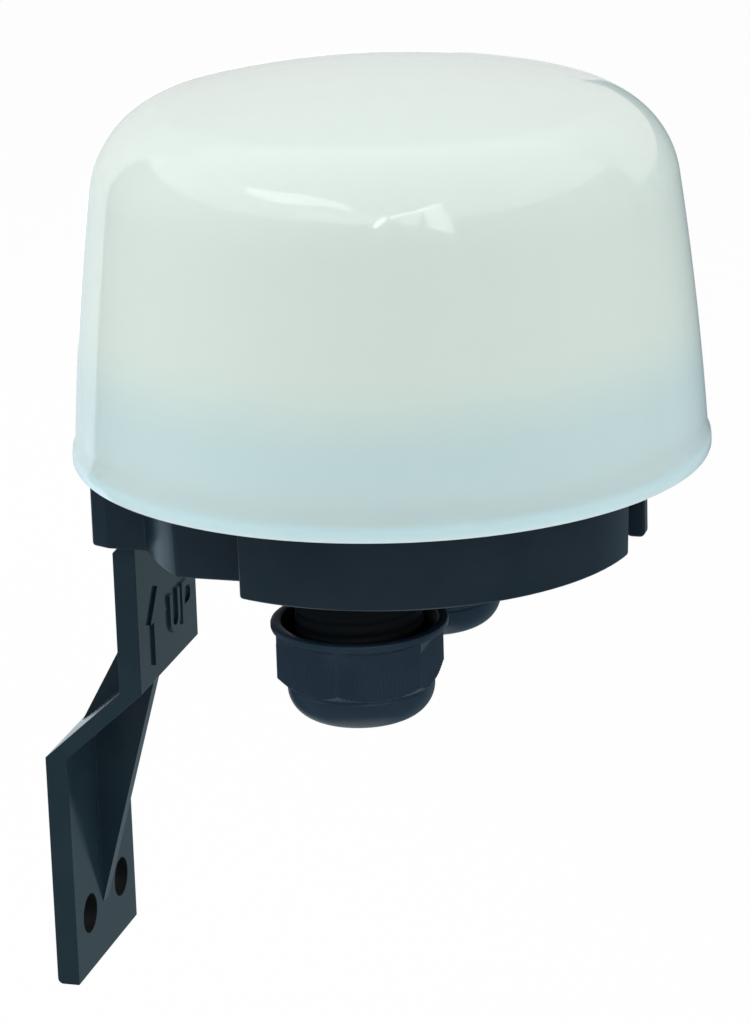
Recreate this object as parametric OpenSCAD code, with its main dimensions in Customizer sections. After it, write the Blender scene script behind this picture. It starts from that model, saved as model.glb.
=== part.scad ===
// Photocell switch: a dusk-to-dawn light switch under a milky dome, held out from a wall by a bracket.
// Millimetres. The wall is the plane y = 0, +Z is up, and the origin lies midway between the wall screws.

/* [Dome cover] */
// Diameter of the dome's side at the rim
cover_d = 80; // [76:0.5:92]
// Height of the dome above its rim
cover_h = 48.2; // [46:0.1:60]
// Thickness of the dome's wall
cover_wall = 2.4; // [1.8:0.1:3]
// Lean of the dome's side at the rim, in degrees
side_lean = 3.25; // [2:0.05:5]
// Radius of the slight barrel curve up the dome's side
side_r = 420; // [300:10:600]
// Radius of the shoulder between the side and the crown
shoulder_r = 12; // [9:0.5:15]
// Radius of the shallow crown
crown_r = 112; // [95:1:150]
// Depth of the rebate inside the rim that drops over the base flange
skirt_depth = 4; // [3.4:0.1:5]
// Wall left outside that rebate
skirt_wall = 1.7; // [1.4:0.1:2]
// How far the lip at the rim stands out from the side
lip_out = 0.3; // [0.2:0.05:0.6]
// Height of the lip
lip_h = 1.6; // [1:0.1:2.4]

/* [Cover seal] */
// Thickness of the flat rubber ring under the cover
cover_seal_t = 1; // [0.7:0.1:1.3]
// Width of the ring
cover_seal_w = 1.5; // [1.2:0.1:1.8]

/* [Base housing] */
// Gap all round between the flange and the cover's rebate
cover_gap = 0.3; // [0.3:0.05:0.5]
// Thickness of the flange
flange_t = 2.1; // [1.6:0.1:2.5]
// How far the housing wall is set in from the flange's edge
base_step = 5.9; // [5:0.1:7]
// Depth of the housing below the rim
base_depth = 11.4; // [10:0.1:16]
// Draft of the housing wall, in degrees
base_draft = 1.5; // [0.5:0.1:2.5]
// Thickness of the housing wall
base_wall = 2.2; // [1.6:0.1:2.6]
// Thickness of the housing floor
floor_t = 2.4; // [1.8:0.1:3]
// Distance between the flats of the two side recesses
side_flats = 47; // [45:0.5:50]
// Where the side recesses begin, towards the wall from the dome's axis
recess_start = 11.5; // [10:0.5:14]
// Width of the front recess behind the release tab
front_recess_w = 9; // [8:0.5:12]
// Depth of the front recess into the housing wall
front_recess_depth = 4.2; // [3.6:0.1:5]

/* [Release tab] */
// Width of the tab
tab_w = 2; // [1.6:0.1:4]
// Thickness of the tab
tab_t = 1.5; // [1.5:0.1:2.5]
// How far the tab stands out past the housing wall
tab_out = 0.9; // [0.6:0.1:1.6]
// Length of the tab below the rim
tab_drop = 10.2; // [8:0.1:12]
// Radius of the tab's lower edges
tab_r = 0.7; // [0.4:0.1:0.7]

/* [Bracket boss] */
// How far the boss's end lies inside the flange's edge
boss_inset = 1.9; // [1.5:0.1:3]
// Wall of the boss behind the bracket
boss_back = 2; // [1.6:0.1:2.6]
// Wall of the boss at each side of the bracket's shoulders
boss_side = 2.3; // [1.6:0.1:3]
// Length of the bevel at the boss's far corners, along its sides
boss_bevel_l = 2.4; // [1.5:0.1:3]
// Width of that bevel, along its end
boss_bevel_w = 1; // [0.6:0.1:2]
// Wall between the boss's pocket and the inside of the housing
boss_front = 2.2; // [1.6:0.1:3]
// Depth of the pocket for the bracket's tongue
pocket_depth = 9; // [7:0.1:10]

/* [Wall bracket] */
// Space between the dome's rim and the wall
wall_gap = 4.6; // [2:0.1:12]
// Height of the dome's rim above the wall screws
rim_height = 65.3; // [60:0.1:80]
// Width of the bracket
bracket_w = 23.8; // [20:0.1:28]
// Thickness of the bracket
bracket_t = 3; // [2.4:0.1:3.6]
// Length of the bracket below the wall screws
plate_below = 8; // [7:0.1:12]
// Height above the wall screws where the bracket leaves the wall
slope_start = 24; // [20:0.1:28]
// Height of the sloping part
slope_rise = 9.6; // [7:0.1:12]
// Distance between the two wall screw holes
screw_spacing = 12.6; // [11:0.1:13.5]
// Diameter of the wall screw holes
screw_hole_d = 5.2; // [4.5:0.1:6]
// Width by which the tongue is narrower at each side than the bracket
tongue_inset = 2; // [1:0.1:3]
// Gap all round between the tongue and its pocket
tongue_gap = 0.15; // [0.1:0.05:0.3]
// Gap between the bracket's shoulders and the boss
shoulder_gap = 0.5; // [0.3:0.1:1]
// Chamfer along the rear edge of the bracket's shoulders
shoulder_chamfer = 0.8; // [0.4:0.1:1.2]
// Radius of the half-round snap ridge on the tongue
ridge_h = 0.6; // [0.4:0.1:0.8]
// Length of the snap ridge
ridge_l = 9.8; // [7:0.1:14]
// Height of the snap ridge above the mouth of its pocket
ridge_z = 4.5; // [3:0.1:6]
// Thickness of the two stiffening webs
web_t = 2.2; // [1.6:0.1:3]
// Where the front web starts, behind the bracket's front face
front_web_inset = 1.9; // [1:0.1:4]
// Length of the front web down the wall plate
front_web_drop = 24.6; // [18:0.1:26]
// Height of the rear web up the upper plate
rear_web_rise = 8.6; // [5:0.1:12]
// Where the rear web ends, in front of the wall
rear_web_inset = 1.4; // [0.5:0.1:3]
// Radius of the bracket's lower edge at the wall
foot_r = 0.8; // [0.5:0.1:2.2]

/* [Cable glands] */
// Distance between the two glands
gland_spacing = 34.5; // [33:0.1:36]
// Diameter of the spouts that the gland nuts screw on
spout_d = 15.6; // [14.5:0.1:16]
// Length of the spouts below the housing
spout_len = 10.5; // [10.2:0.1:12]
// Diameter of the seal's seat in the spout
seat_d = 11.2; // [10.8:0.1:12]
// Depth of the seal's seat
seat_depth = 6.9; // [6.7:0.1:8]
// Diameter of the cable way above the seat
way_d = 9; // [8:0.1:9.6]
// Gap all round between the spout and the nut, and between the seal and its seat
gland_gap = 0.3; // [0.3:0.05:0.4]
// Gap between the housing and the nut as it hangs half screwed on
nut_drop = 5.8; // [5.2:0.1:6.2]
// Height of the nut
nut_h = 12.4; // [12:0.1:14]
// Size of the nut across its flats
nut_flats = 18.5; // [18:0.1:19.5]
// Diameter of the nut's round rim
nut_rim_d = 22.1; // [21.5:0.1:23]
// Height of the round rim
nut_rim_h = 0.9; // [0.6:0.1:1.4]
// Height of the cone between the rim and the flats
nut_cone_h = 1.1; // [0.8:0.1:1.6]
// Height of the six-sided part, rim and cone included
nut_hex_h = 8; // [7:0.1:8.6]
// Height of the chamfer at the foot of the six-sided part
nut_chamfer_h = 1.3; // [1:0.1:2]
// Radius of the nut's domed end
nut_end_r = 3.8; // [3:0.1:4.2]
// Thickness of the nut's end
nut_end_t = 2.2; // [1.8:0.1:2.6]
// Diameter of the cable hole in the nut
nut_hole_d = 9.4; // [8.8:0.1:10]
// Diameter of the nut's flared mouth
nut_mouth_d = 19.6; // [18:0.1:20]
// Depth of the flare
nut_mouth_h = 2; // [1:0.1:3]
// Thickness of the slip washer in the nut
slip_t = 1; // [0.8:0.1:1.2]
// Length of the rubber seal
gland_seal_h = 7; // [6.5:0.1:7.4]
// Diameter of the cable hole in the seal
cable_d = 8; // [6:0.1:8.4]

/* [Circuit board] */
// Height of the posts that carry the board above the flange
post_h = 3; // [2:0.1:4]
// Diameter of the posts
post_d = 5; // [4.4:0.1:5.4]
// Where the posts stand, inside the flange's edge
post_inset = 4.8; // [4.6:0.1:5.2]
// Thickness of the board
board_t = 1.6; // [1:0.1:2]
// Diameter of the wire holes in the board, over the glands
wire_hole_d = 13; // [10:0.5:13.5]
// Diameter of the board screws
board_screw_d = 2.2; // [1.8:0.1:2.4]
// Diameter of the board screws' heads
board_screw_head_d = 4.6; // [4:0.1:5]
// Height of the board screws' heads
board_screw_head_h = 1.6; // [1.2:0.1:2]
// Length of the board screws below the board
board_screw_len = 4; // [3:0.1:4.4]
// Length of the cross in the board screws' heads
cross_l = 3; // [2.4:0.1:3.4]
// Depth of that cross
cross_depth = 0.8; // [0.5:0.1:1]
// Width of the slots in all screw heads
slot_w = 0.7; // [0.5:0.05:0.9]
// Gap all round between a small screw and its hole
screw_gap = 0.15; // [0.1:0.05:0.3]

/* [Circuit parts] */
// Least gap between neighbouring parts on the board
part_gap = 0.8; // [0.5:0.1:1.2]
// Width of the relay
relay_w = 19; // [16:0.1:21]
// Depth of the relay
relay_l = 15.5; // [14:0.1:17]
// Height of the relay
relay_h = 15.8; // [12:0.1:20]
// Distance of the relay from the dome's axis, towards the wall
relay_y = 20; // [19:0.1:21]
// Width of the film capacitor
film_w = 18; // [15:0.1:19]
// Depth of the film capacitor
film_l = 7.5; // [5:0.1:8.5]
// Height of the film capacitor
film_h = 14; // [10:0.1:18]
// Distance of the film capacitor from the dome's axis, towards the wall
film_y = 4; // [3:0.1:5]
// Diameter of the electrolytic capacitor
electrolytic_d = 10; // [8:0.1:11]
// Height of the electrolytic capacitor
electrolytic_h = 16; // [12:0.1:20]
// Diameter of the varistor disc
varistor_d = 10; // [8:0.1:12]
// Thickness of the varistor disc
varistor_t = 4; // [3:0.1:5]
// Distance between the varistor's leads
varistor_lead_gap = 5; // [4:0.1:7]
// Diameter of the transistor
transistor_d = 4.6; // [4:0.1:5]
// Height of the transistor
transistor_h = 4.6; // [4:0.1:5.4]
// Distance of the transistor's flat from its axis
transistor_flat = 1.2; // [1:0.1:1.8]
// Distance between the transistor's leads
transistor_lead_gap = 1.4; // [1.2:0.1:1.6]
// Length of the leads under the upright parts
lead_h = 3; // [2:0.1:5]
// Diameter of the leads
lead_d = 0.7; // [0.5:0.05:0.9]
// How far a lead stands out from the end of a lying part before it bends down
lead_out = 0.7; // [0.5:0.1:1.2]
// Diameter of the rectifier diodes
diode_d = 2.7; // [2:0.1:3]
// Length of the rectifier diodes
diode_l = 5.2; // [4:0.1:6]
// Diameter of the resistors
resistor_d = 2.4; // [2:0.1:3]
// Length of the resistors
resistor_l = 6.4; // [5:0.1:7]
// Distance between neighbouring diodes or resistors
row_pitch = 3.6; // [3.4:0.1:3.8]
// Distance of the diodes and resistors in front of the dome's axis
row_y = 14; // [13:0.1:15]
// Diameter of the light sensor
sensor_d = 8; // [5:0.1:9]
// Thickness of the light sensor
sensor_t = 2.4; // [2:0.1:3]
// Distance between the light sensor's leads
sensor_lead_gap = 4; // [2.5:0.1:4.2]
// Height of the light sensor above the board
sensor_rise = 20; // [14:0.5:24]
// Distance of the light sensor in front of the dome's axis
sensor_y = 7.5; // [7:0.1:8]

/* [Terminal block] */
// Distance between neighbouring terminals
terminal_pitch = 8; // [7:0.1:8.4]
// Depth of the block
terminal_l = 11; // [10:0.1:12]
// Height of the block
terminal_h = 13; // [11:0.1:15]
// Distance of the block in front of the dome's axis
terminal_y = 20; // [19.6:0.1:21]
// Side of the square wire holes
wire_way = 4.4; // [3.6:0.1:5]
// Height of the wire holes above the board
wire_way_z = 2; // [1.5:0.1:3]
// Wall of the block behind the wire holes
terminal_back = 2.8; // [2.2:0.1:3.4]
// Diameter of the terminal screws
terminal_screw_d = 3.4; // [3:0.1:3.8]
// Length of the terminal screws
terminal_screw_len = 4.4; // [3.5:0.1:5.5]
// Depth of the terminal screws' slots
terminal_slot_depth = 1.1; // [0.8:0.1:1.4]
// Thickness of the metal clamps
clamp_t = 0.6; // [0.4:0.1:0.8]
// Length of the metal clamps along the wire holes
clamp_l = 5.5; // [4.5:0.1:6.5]

/* [Hidden] */
$fn = 96;
arc_fn = 720;
eps = 0.01;
cut = 1;

// Places that follow from the sizes above, from the rim up and from the dome's axis out
wall_to_axis = cover_d / 2 + wall_gap;
skirt_r = cover_d / 2 - skirt_wall;
flange_r = skirt_r - cover_gap;
flange_top = skirt_depth - cover_seal_t;
flange_low = flange_top - flange_t;
base_top_r = flange_r - base_step;
floor_z = -base_depth;
floor_top = floor_z + floor_t;
board_z = flange_top + post_h;
board_top = board_z + board_t;
post_ring_r = flange_r - post_inset;
board_r = post_ring_r + post_d / 2;
boss_end = flange_r - boss_inset;
boss_w = bracket_w + 2 * boss_side;
tongue_back = boss_end - boss_back - tongue_gap;
tongue_front = tongue_back - bracket_t;
tongue_w = bracket_w - 2 * tongue_inset;
pocket_front = tongue_front - tongue_gap;
upper_back = tongue_back - wall_to_axis;
upper_front = upper_back - bracket_t;
shoulder_z = rim_height + floor_z - shoulder_gap;
tongue_top = rim_height + floor_z + pocket_depth - tongue_gap;
spout_end = floor_z - spout_len;
nut_top = floor_z - nut_drop;
nut_low = nut_top - nut_h;
slip_z = nut_low + nut_end_t;
gland_seal_z = slip_z + slip_t;
terminal_w = 3 * terminal_pitch;
post_angles = [45, 135, 225, 315];

// Centres of the three arcs of the dome's outline; the shoulder arc touches the other two from inside
side_c = [cover_d / 2 - side_r * cos(side_lean), -side_r * sin(side_lean)];
crown_c = [0, cover_h - crown_r];
shoulder_c = meeting_point(side_c, side_r - shoulder_r, crown_c, crown_r - shoulder_r);

// Where two circles meet, on the right of the line from a to b
function meeting_point(a, ra, b, rb) =
    let (d = norm(b - a), u = (b - a) / d, along = (ra * ra - rb * rb + d * d) / (2 * d))
    a + along * u + sqrt(ra * ra - along * along) * [-u[1], u[0]];

// Direction from one point to another, drawn out to a length
function reach(from, to, length) = from + (to - from) / norm(to - from) * length;

// Radius of the housing wall at a height, with its draft
function base_r(z) = base_top_r - (flange_low - z) * tan(base_draft);

// Moves what is drawn about the dome's axis and rim out to its place in front of the wall
module at_head() {
    translate([0, -wall_to_axis, rim_height]) children();
}

// Moves what is drawn about a gland's axis to the left gland, or to the right one
module at_gland(side) {
    at_head() translate([side * gland_spacing / 2, 0, 0]) children();
}

// Half of the dome's section, with each arc moved inwards by inset
module cover_section(inset) {
    difference() {
        intersection() {
            translate(side_c) circle(r = side_r - inset, $fn = arc_fn);
            translate(crown_c) circle(r = crown_r - inset, $fn = arc_fn);
            translate([0, -cut]) square([cover_d, cover_h + cut]);
        }
        polygon([shoulder_c,
                 reach(side_c, shoulder_c, side_r + shoulder_r),
                 [cover_d, cover_h + shoulder_r],
                 reach(crown_c, shoulder_c, crown_r + shoulder_r)]);
    }
    translate(shoulder_c) circle(r = shoulder_r - inset);
}

module dome_cover() {
    color([0.86, 0.9, 0.89])
    at_head() rotate_extrude() difference() {
        union() {
            intersection() {
                cover_section(0);
                square([cover_d, cover_h + cut]);
            }
            square([cover_d / 2 + lip_out, lip_h]);
        }
        cover_section(cover_wall);
        translate([0, -cut]) square([skirt_r, skirt_depth + cut]);
    }
}

module cover_seal() {
    color([0.16, 0.17, 0.18])
    at_head() translate([0, 0, flange_top]) difference() {
        cylinder(r = flange_r, h = cover_seal_t);
        translate([0, 0, -cut]) cylinder(r = flange_r - cover_seal_w, h = cover_seal_t + 2 * cut);
    }
}

// The housing's drafted round body between two heights, with its side and front recesses cut out of it
module housing_body(inset, low, high) {
    tall = high - low + 2 * cut;
    flat_x = side_flats / 2 - inset;
    front_y = -base_r(floor_z) + front_recess_depth + inset;
    difference() {
        translate([0, 0, low]) cylinder(r1 = base_r(low) - inset, r2 = base_r(high) - inset, h = high - low);
        for (side = [-1, 1])
            translate([side > 0 ? flat_x : -flat_x - flange_r, recess_start - inset, low - cut])
                cube([flange_r, flange_r, tall]);
        translate([-front_recess_w / 2 - inset, front_y - flange_r, low - cut])
            cube([front_recess_w + 2 * inset, flange_r, tall]);
    }
}

// The boss from above: its far corners are bevelled, and its near end lies within the round wall
module boss_outline() {
    half = boss_w / 2;
    start = pocket_front - boss_front - base_wall;
    polygon([[-half, start], [half, start],
             [half, boss_end - boss_bevel_l], [half - boss_bevel_w, boss_end],
             [-half + boss_bevel_w, boss_end], [-half, boss_end - boss_bevel_l]]);
}

// The upright boss, whose corners are trimmed where it goes up into the dome
module boss_block() {
    translate([0, 0, floor_z]) linear_extrude(-floor_z - cover_gap) boss_outline();
    translate([0, 0, floor_z]) linear_extrude(flange_low - floor_z + eps) intersection() {
        boss_outline();
        circle(r = flange_r - cover_gap);
    }
}

module release_tab() {
    outer = -base_r(floor_z) - tab_out;
    translate([-tab_w / 2, 0, 0]) rotate([90, 0, 90]) linear_extrude(tab_w) {
        translate([outer, -tab_drop + tab_r]) square([tab_t, tab_drop - tab_r + flange_low + eps]);
        translate([outer + tab_r, -tab_drop]) square([tab_t - 2 * tab_r, tab_r + eps]);
        for (y = [outer + tab_r, outer + tab_t - tab_r]) translate([y, -tab_drop + tab_r]) circle(r = tab_r);
    }
}

module base_housing() {
    color([0.13, 0.16, 0.18])
    at_head() difference() {
        union() {
            housing_body(0, floor_z, flange_low + eps);
            translate([0, 0, flange_low]) cylinder(r = flange_r, h = flange_t);
            boss_block();
            release_tab();
            for (side = [-1, 1]) translate([side * gland_spacing / 2, 0, spout_end])
                cylinder(d = spout_d, h = spout_len + eps);
            for (a = post_angles) rotate(a) translate([post_ring_r, 0, flange_top - eps])
                cylinder(d = post_d, h = post_h + eps);
        }
        // the hollow inside, kept clear of the bracket's pocket
        intersection() {
            housing_body(base_wall, floor_top, flange_top + cut);
            translate([-flange_r, -flange_r, floor_z])
                cube([2 * flange_r, flange_r + pocket_front - boss_front, 2 * base_depth]);
        }
        // the cable ways and the seats for the gland seals
        for (side = [-1, 1]) translate([side * gland_spacing / 2, 0, spout_end]) {
            translate([0, 0, -cut]) cylinder(d = seat_d, h = seat_depth + cut);
            cylinder(d = way_d, h = spout_len + floor_t + cut);
        }
        // the pocket for the bracket's tongue, with a groove for its snap ridge
        translate([-tongue_w / 2 - tongue_gap, pocket_front, floor_z - cut])
            cube([tongue_w + 2 * tongue_gap, bracket_t + 2 * tongue_gap, pocket_depth + cut]);
        translate([0, tongue_front, floor_z + ridge_z])
            snap_ridge(ridge_h + tongue_gap, ridge_l + 2 * tongue_gap);
        // pilot holes for the board screws
        for (a = post_angles) rotate(a) translate([post_ring_r, 0, board_z - board_screw_len - screw_gap])
            cylinder(d = board_screw_d + 2 * screw_gap, h = board_screw_len + cut);
    }
}

// A half-round ridge across the tongue's front face
module snap_ridge(r, length) {
    rotate([0, 90, 0]) cylinder(r = r, h = length, center = true);
}

module wall_bracket() {
    slope_end = slope_start + slope_rise;
    lean = slope_rise / -upper_back;
    web_top_y = upper_front + front_web_inset;
    rear_foot_y = -rear_web_inset;
    color([0.14, 0.17, 0.19])
    difference() {
        union() {
            // one bent strip: wall plate, slope and upper plate
            translate([-bracket_w / 2, 0, 0]) rotate([90, 0, 90]) linear_extrude(bracket_w) difference() {
                polygon([[0, -plate_below], [0, slope_start],
                         [upper_back, slope_end], [upper_back, shoulder_z - shoulder_chamfer],
                         [upper_back - shoulder_chamfer, shoulder_z], [upper_front, shoulder_z],
                         [upper_front, slope_end], [-bracket_t, slope_start], [-bracket_t, -plate_below]]);
                translate([-foot_r, -plate_below]) difference() {
                    translate([0, -cut]) square([foot_r + cut, foot_r + cut]);
                    translate([0, foot_r]) circle(r = foot_r);
                }
            }
            // the tongue that snaps into the boss
            translate([-tongue_w / 2, upper_front, shoulder_z - eps])
                cube([tongue_w, bracket_t, tongue_top - shoulder_z + eps]);
            translate([0, upper_front, rim_height + floor_z + ridge_z]) snap_ridge(ridge_h, ridge_l);
            // the webs in front of the wall plate and behind the upper plate
            translate([-web_t / 2, 0, 0]) rotate([90, 0, 90]) linear_extrude(web_t) {
                polygon([[-bracket_t + eps, slope_start - front_web_drop],
                         [-bracket_t + eps, slope_start + eps],
                         [web_top_y, slope_start - (web_top_y + bracket_t) * lean + eps]]);
                polygon([[upper_back - eps, slope_end + rear_web_rise], [upper_back - eps, slope_end - eps],
                         [rear_foot_y, slope_start - rear_foot_y * lean - eps]]);
            }
        }
        for (side = [-1, 1]) translate([side * screw_spacing / 2, cut, 0])
            rotate([90, 0, 0]) cylinder(d = screw_hole_d, h = bracket_t + 2 * cut);
    }
}

// Outside of a gland nut: round rim, cone, six flats and a domed end
module nut_outside() {
    rim_r = nut_rim_d / 2;
    flat_r = nut_flats / 2;
    corner_r = flat_r / cos(30);
    hex_low = nut_top - nut_hex_h;
    cone_low = nut_top - nut_rim_h - nut_cone_h;
    translate([0, 0, nut_top - nut_rim_h]) cylinder(r = rim_r, h = nut_rim_h);
    intersection() {
        translate([0, 0, hex_low]) cylinder(r = corner_r, h = nut_hex_h - nut_rim_h + eps, $fn = 6);
        rotate_extrude() polygon([[0, hex_low], [flat_r, hex_low], [corner_r, hex_low + nut_chamfer_h],
                                  [corner_r, nut_top - nut_rim_h + eps], [0, nut_top - nut_rim_h + eps]]);
    }
    translate([0, 0, cone_low]) cylinder(r1 = flat_r, r2 = rim_r, h = nut_cone_h + eps);
    rotate_extrude() {
        translate([0, nut_low + nut_end_r]) square([flat_r, nut_h - nut_rim_h - nut_end_r]);
        translate([0, nut_low]) square([flat_r - nut_end_r, nut_end_r + eps]);
        intersection() {
            translate([flat_r - nut_end_r, nut_low + nut_end_r]) circle(r = nut_end_r);
            translate([0, nut_low]) square([flat_r, nut_h]);
        }
    }
}

module gland_nut(side) {
    bore_r = spout_d / 2 + gland_gap;
    color([0.13, 0.17, 0.2])
    at_gland(side) difference() {
        nut_outside();
        translate([0, 0, slip_z]) cylinder(r = bore_r, h = nut_h);
        translate([0, 0, nut_low - cut]) cylinder(d = nut_hole_d, h = nut_h);
        translate([0, 0, nut_top - nut_mouth_h])
            cylinder(r1 = bore_r, r2 = nut_mouth_d / 2, h = nut_mouth_h + eps);
    }
}

module slip_washer(side) {
    color([0.75, 0.75, 0.72])
    at_gland(side) translate([0, 0, slip_z]) difference() {
        cylinder(d = spout_d, h = slip_t);
        translate([0, 0, -cut]) cylinder(d = nut_hole_d, h = slip_t + 2 * cut);
    }
}

module gland_seal(side) {
    color([0.1, 0.1, 0.1])
    at_gland(side) translate([0, 0, gland_seal_z]) difference() {
        cylinder(d = seat_d - 2 * gland_gap, h = gland_seal_h);
        translate([0, 0, -cut]) cylinder(d = cable_d, h = gland_seal_h + 2 * cut);
    }
}

module gland_nut_left() gland_nut(-1);
module gland_nut_right() gland_nut(1);
module slip_washer_left() slip_washer(-1);
module slip_washer_right() slip_washer(1);
module gland_seal_left() gland_seal(-1);
module gland_seal_right() gland_seal(1);

module circuit_board() {
    color([0.12, 0.38, 0.2])
    at_head() translate([0, 0, board_z]) difference() {
        cylinder(r = board_r, h = board_t);
        for (side = [-1, 1]) translate([side * gland_spacing / 2, 0, -cut])
            cylinder(d = wire_hole_d, h = board_t + 2 * cut);
        for (a = post_angles) rotate(a) translate([post_ring_r, 0, -cut])
            cylinder(d = board_screw_d + 2 * screw_gap, h = board_t + 2 * cut);
    }
}

module board_screws() {
    color([0.7, 0.7, 0.68])
    at_head() for (a = post_angles) rotate(a) translate([post_ring_r, 0, board_top]) difference() {
        union() {
            cylinder(d = board_screw_head_d, h = board_screw_head_h);
            translate([0, 0, -board_t - board_screw_len])
                cylinder(d = board_screw_d, h = board_t + board_screw_len + eps);
        }
        // cross recess
        for (turn = [0, 90]) rotate(turn)
            translate([-cross_l / 2, -slot_w / 2, board_screw_head_h - cross_depth])
                cube([cross_l, slot_w, cross_depth + cut]);
    }
}

// Stands a part on the board at a place measured from the dome's axis
module on_board(x, y) {
    at_head() translate([x, y, board_top]) children();
}

module relay() {
    color([0.2, 0.32, 0.55])
    on_board(-relay_w / 2, relay_y - relay_l / 2) cube([relay_w, relay_l, relay_h]);
}

module film_capacitor() {
    color([0.78, 0.66, 0.2])
    on_board(-film_w / 2, film_y - film_l / 2) cube([film_w, film_l, film_h]);
}

module electrolytic_capacitor() {
    color([0.15, 0.16, 0.3])
    on_board(relay_w / 2 + part_gap + electrolytic_d / 2, wire_hole_d / 2 + part_gap + electrolytic_d / 2)
        cylinder(d = electrolytic_d, h = electrolytic_h);
}

module varistor() {
    color([0.2, 0.35, 0.6])
    on_board(-relay_w / 2 - part_gap - varistor_d / 2, wire_hole_d / 2 + part_gap + varistor_d / 2) {
        translate([0, varistor_t / 2, lead_h + varistor_d / 2]) rotate([90, 0, 0])
            cylinder(d = varistor_d, h = varistor_t);
        for (side = [-1, 1]) translate([side * varistor_lead_gap / 2, 0, 0])
            cylinder(d = lead_d, h = lead_h + varistor_d / 2);
    }
}

module transistor() {
    color([0.12, 0.12, 0.13])
    on_board(-(sensor_d + transistor_d) / 2 - part_gap, film_y - (film_l + transistor_d) / 2 - part_gap) {
        translate([0, 0, lead_h]) difference() {
            cylinder(d = transistor_d, h = transistor_h);
            translate([-transistor_d, transistor_flat, -cut])
                cube([2 * transistor_d, transistor_d, transistor_h + 2 * cut]);
        }
        for (step = [-1, 0, 1]) translate([step * transistor_lead_gap, 0, 0])
            cylinder(d = lead_d, h = lead_h + eps);
    }
}

// A part with a lead at each end, lying along the board on its bent leads
module axial_part(d, l) {
    span = l / 2 + lead_out;
    translate([0, -l / 2, d / 2]) rotate([-90, 0, 0]) cylinder(d = d, h = l);
    translate([0, -span, d / 2]) rotate([-90, 0, 0]) cylinder(d = lead_d, h = 2 * span);
    for (side = [-1, 1]) translate([0, side * span, 0]) cylinder(d = lead_d, h = d / 2 + lead_d / 2);
}

module rectifier_diodes() {
    color([0.1, 0.1, 0.1])
    for (i = [1:4]) on_board(terminal_w / 2 + i * row_pitch, -row_y) axial_part(diode_d, diode_l);
}

module resistors() {
    color([0.75, 0.62, 0.45])
    for (i = [1:3]) on_board(-terminal_w / 2 - i * row_pitch, -row_y) axial_part(resistor_d, resistor_l);
}

module light_sensor() {
    color([0.85, 0.55, 0.3])
    on_board(0, -sensor_y) translate([0, 0, sensor_rise]) cylinder(d = sensor_d, h = sensor_t);
}

module sensor_leads() {
    color([0.75, 0.75, 0.75])
    on_board(0, -sensor_y) for (side = [-1, 1]) translate([side * sensor_lead_gap / 2, 0, 0])
        cylinder(d = lead_d, h = sensor_rise);
}

// Runs its children at each of the three terminals
module at_terminals() {
    for (i = [-1, 0, 1]) on_board(i * terminal_pitch, -terminal_y) children();
}

module terminal_block() {
    well_d = terminal_screw_d + 2 * screw_gap;
    color([0.2, 0.22, 0.24])
    difference() {
        on_board(-terminal_w / 2, -terminal_y - terminal_l / 2) cube([terminal_w, terminal_l, terminal_h]);
        at_terminals() {
            translate([-wire_way / 2, terminal_back - terminal_l / 2, wire_way_z])
                cube([wire_way, terminal_l, wire_way]);
            translate([0, 0, wire_way_z + wire_way / 2]) cylinder(d = well_d, h = terminal_h);
        }
    }
}

module terminal_screws() {
    color([0.72, 0.7, 0.66])
    at_terminals() translate([0, 0, wire_way_z + wire_way]) difference() {
        cylinder(d = terminal_screw_d, h = terminal_screw_len);
        translate([-terminal_screw_d, -slot_w / 2, terminal_screw_len - terminal_slot_depth])
            cube([2 * terminal_screw_d, slot_w, terminal_slot_depth + cut]);
    }
}

module terminal_clamps() {
    color([0.8, 0.68, 0.32])
    at_terminals() translate([-wire_way / 2, terminal_back - terminal_l / 2, wire_way_z])
        difference() {
            cube([wire_way, clamp_l, wire_way]);
            translate([clamp_t, -cut, clamp_t])
                cube([wire_way - 2 * clamp_t, clamp_l + 2 * cut, wire_way]);
        }
}

dome_cover();
cover_seal();
base_housing();
wall_bracket();
gland_nut_left();
gland_nut_right();
slip_washer_left();
slip_washer_right();
gland_seal_left();
gland_seal_right();
circuit_board();
board_screws();
relay();
film_capacitor();
electrolytic_capacitor();
varistor();
transistor();
rectifier_diodes();
resistors();
light_sensor();
sensor_leads();
terminal_block();
terminal_screws();
terminal_clamps();
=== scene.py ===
from math import atan, atan2, ceil, cos, floor, pi, radians, sin, sqrt, tan

import bpy
import bmesh
from mathutils import Matrix, Vector


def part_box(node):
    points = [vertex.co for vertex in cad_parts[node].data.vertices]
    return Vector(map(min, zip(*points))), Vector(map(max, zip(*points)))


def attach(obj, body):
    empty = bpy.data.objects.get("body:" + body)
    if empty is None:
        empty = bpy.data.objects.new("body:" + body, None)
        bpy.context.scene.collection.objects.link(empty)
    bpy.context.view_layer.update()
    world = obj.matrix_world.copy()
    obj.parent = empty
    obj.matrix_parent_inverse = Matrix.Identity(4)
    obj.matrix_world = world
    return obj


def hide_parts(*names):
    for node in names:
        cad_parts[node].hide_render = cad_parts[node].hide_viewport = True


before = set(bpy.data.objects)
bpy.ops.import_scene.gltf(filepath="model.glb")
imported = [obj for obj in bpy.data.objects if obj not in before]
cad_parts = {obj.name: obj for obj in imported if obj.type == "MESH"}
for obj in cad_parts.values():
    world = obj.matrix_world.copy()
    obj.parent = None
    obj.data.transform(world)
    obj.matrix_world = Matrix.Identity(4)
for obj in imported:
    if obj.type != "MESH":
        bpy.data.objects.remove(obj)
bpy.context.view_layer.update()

# Wall bracket: a black moulding bent like a step, screwed to the wall by its foot and pushed into the base
# by its tongue. The solid is kept, and its edges get the small rounding that the mould leaves. The walls of
# the two screw holes are matt and painted near-black as shade.
MM = 0.001


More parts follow.
